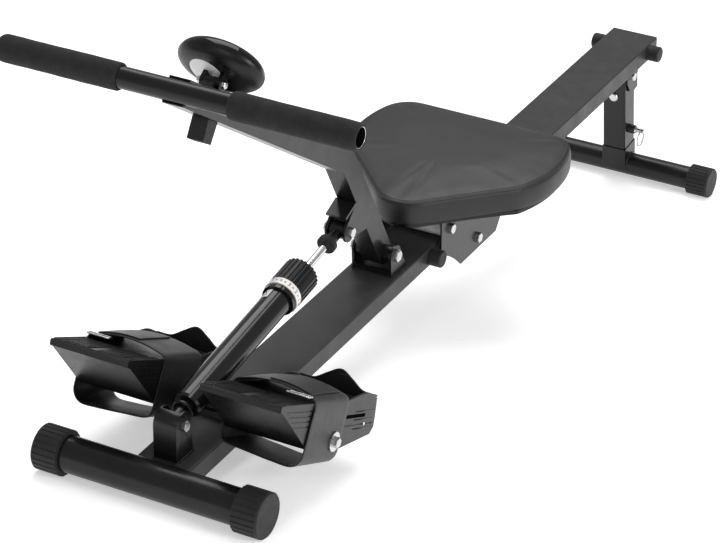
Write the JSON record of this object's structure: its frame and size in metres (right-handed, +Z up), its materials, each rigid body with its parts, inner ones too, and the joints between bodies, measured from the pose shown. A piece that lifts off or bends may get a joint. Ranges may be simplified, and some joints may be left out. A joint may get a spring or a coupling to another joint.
{
  "type": "rowing machine",
  "caption": "Compact home rowing machine: rolling padded seat on an inclined rail, pull arm with foam grips on a hydraulic damper, strapped foot pedals and a folding rear leg.",
  "frame": {"origin": "centre of the footprint box, on the floor", "axes": "+Y towards the rear of the machine along its length, +X to the right seen from the front end looking to the rear, +Z up"},
  "size_m": [0.5096, 1.5614, 0.6046],
  "materials": {
    "frame_black": "satin black powder coat",
    "rail_black": "smooth satin black powder coat",
    "damper_black": "gloss black paint",
    "rubber_black": "moulded rubber",
    "foam_black": "closed-cell foam",
    "zinc": "bright zinc plate",
    "chrome": "hard chrome",
    "vinyl_black": "grained vinyl",
    "strap_vinyl": "smooth vinyl strap",
    "plastic_black": "moulded black plastic",
    "gloss_black": "polished black plastic",
    "roller_white": "nylon",
    "scale_white": "printed scale band",
    "label_white": "plain label",
    "lens": "smoked display window",
    "board_green": "circuit board",
    "battery": "cell",
    "button_grey": "soft key"
  },
  "bodies": {
    "frame": {"front_stabiliser_tube": "frame_black", "front_end_caps": "rubber_black", "rail_beam": "rail_black", "rail_end_plug": "plastic_black", "stop_pins": "zinc", "stop_bumpers": "rubber_black", "lower_clevis": "frame_black", "frame_pivot_bolts": "zinc", "arm_base_bracket": "frame_black", "arm_pivot_bolt": "zinc", "pedal_axle": "frame_black", "pedal_axle_bolts": "zinc", "rear_ear_bracket": "frame_black"},
    "pull_arm": {"handle_arm": "frame_black", "arm_pivot_bushes": "plastic_black", "arm_clevis": "frame_black", "arm_clevis_bolts": "zinc", "crossbar": "frame_black", "foam_grips": "foam_black", "arm_rubber_block": "rubber_black", "monitor_neck": "plastic_black"},
    "monitor": {"monitor_back_shell": "plastic_black", "monitor_front_shell": "gloss_black", "monitor_lens": "lens", "monitor_circuit_board": "board_green", "monitor_battery": "battery", "monitor_tilt_bolt": "zinc"},
    "monitor_key": {"monitor_button": "button_grey"},
    "damper_cylinder": {"damper_tube": "damper_black", "damper_lower_eye": "frame_black", "damper_gland": "zinc", "damper_label": "label_white"},
    "damper_rod": {"piston_rod": "chrome", "damper_piston": "zinc", "rod_bumper_washer": "rubber_black", "rod_eye": "frame_black"},
    "dial": {"resistance_dial": "plastic_black", "dial_scale_ring": "scale_white"},
    "carriage": {"carriage_frame": "frame_black", "roller_bolts": "zinc", "seat_board": "plastic_black", "seat_pad": "vinyl_black", "seat_bolts": "zinc"},
    "roller_front": {"front_upper_roller": "roller_white"},
    "roller_rear": {"rear_upper_roller": "roller_white"},
    "roller_low": {"lower_roller": "roller_white"},
    "pedal_left": {"foot_pedal_left": "plastic_black", "foot_strap_left": "strap_vinyl", "strap_loop_left": "zinc"},
    "pedal_right": {"foot_pedal_right": "plastic_black", "foot_strap_right": "strap_vinyl", "strap_loop_right": "zinc"},
    "rear_leg": {"rear_leg_post": "frame_black", "leg_carriage_bolt": "zinc"},
    "rear_foot": {"rear_foot_post": "frame_black", "rear_stabiliser_tube": "frame_black", "rear_end_caps": "rubber_black"},
    "pin": {"lock_pin": "zinc"},
    "ring": {"pull_ring": "zinc"},
    "knob": {"star_knob": "plastic_black"}
  },
  "joints": [
    {"name": "arm_pull", "type": "hinge", "parent": "frame", "child": "pull_arm", "pos_m": [0, -0.15508, 0.15677], "axis": [-1, 0, 0], "range_deg": [-7, 45]},
    {"name": "damper_swing", "type": "hinge", "parent": "frame", "child": "damper_cylinder", "pos_m": [0, -0.71034, 0.0987], "axis": [1, 0, 0], "range_deg": [-1.5, 5.5]},
    {"name": "rod_stroke", "type": "slide", "parent": "damper_cylinder", "child": "damper_rod", "axis": [0, 0.9591, 0.2832], "range_m": [-0.02, 0.1]},
    {"name": "dial_turn", "type": "hinge", "parent": "damper_cylinder", "child": "dial", "pos_m": [0, -0.71034, 0.0987], "axis": [0, 0.9591, 0.2832], "range_deg": [0, 330]},
    {"name": "seat_roll", "type": "slide", "parent": "frame", "child": "carriage", "axis": [0, 0.9907, 0.136], "range_m": [0, 0.531]},
    {"name": "roller_front_spin", "type": "hinge", "parent": "carriage", "child": "roller_front", "pos_m": [0, -0.01661, 0.15913], "axis": [1, 0, 0], "range_deg": [-2150, 1]},
    {"name": "roller_rear_spin", "type": "hinge", "parent": "carriage", "child": "roller_rear", "pos_m": [0, 0.16518, 0.18409], "axis": [1, 0, 0], "range_deg": [-2150, 1]},
    {"name": "roller_low_spin", "type": "hinge", "parent": "carriage", "child": "roller_low", "pos_m": [0, 0.08275, 0.11322], "axis": [1, 0, 0], "range_deg": [-1, 2150]},
    {"name": "pedal_left_tilt", "type": "hinge", "parent": "frame", "child": "pedal_left", "pos_m": [-0.11225, -0.5921, 0.07557], "axis": [1, 0, 0], "range_deg": [-18, 35]},
    {"name": "pedal_right_tilt", "type": "hinge", "parent": "frame", "child": "pedal_right", "pos_m": [0.11225, -0.5921, 0.07557], "axis": [1, 0, 0], "range_deg": [-18, 35]},
    {"name": "rear_leg_fold", "type": "hinge", "parent": "frame", "child": "rear_leg", "pos_m": [0, 0.71098, 0.19342], "axis": [-1, 0, 0], "range_deg": [0, 75]},
    {"name": "foot_height", "type": "slide", "parent": "rear_leg", "child": "rear_foot", "axis": [0, 0.2562, -0.9666], "range_m": [0, 0.05]},
    {"name": "pin_pull", "type": "slide", "parent": "rear_leg", "child": "pin", "axis": [1, 0, 0], "range_m": [0, 0.008], "stiffness_N_per_m": 600, "springref_m": -0.004},
    {"name": "ring_swing", "type": "hinge", "parent": "pin", "child": "ring", "pos_m": [0.0415, 0.73763, 0.09289], "axis": [0, -1, 0], "range_deg": [-30, 100]},
    {"name": "knob_turn", "type": "hinge", "parent": "frame", "child": "knob", "pos_m": [0, 0.71406, 0.18182], "axis": [0, 0.9666, 0.2562], "continuous": true},
    {"name": "monitor_tilt", "type": "hinge", "parent": "pull_arm", "child": "monitor", "pos_m": [0, -0.65856, 0.54628], "axis": [1, 0, 0], "range_deg": [-6, 20]},
    {"name": "monitor_press", "type": "slide", "parent": "monitor", "child": "monitor_key", "axis": [0, -0.766, -0.6428], "range_m": [0, 0.0012], "stiffness_N_per_m": 400, "springref_m": -0.0015}
  ],
  "couplings": [
    {"joint": "damper_swing", "follows": "arm_pull", "ratio": 0.10456},
    {"joint": "rod_stroke", "follows": "arm_pull", "m_per_rad": 0.12258},
    {"joint": "roller_front_spin", "follows": "seat_roll", "rad_per_m": -70.422},
    {"joint": "roller_rear_spin", "follows": "seat_roll", "rad_per_m": -70.422},
    {"joint": "roller_low_spin", "follows": "seat_roll", "rad_per_m": 70.422}
  ]
}
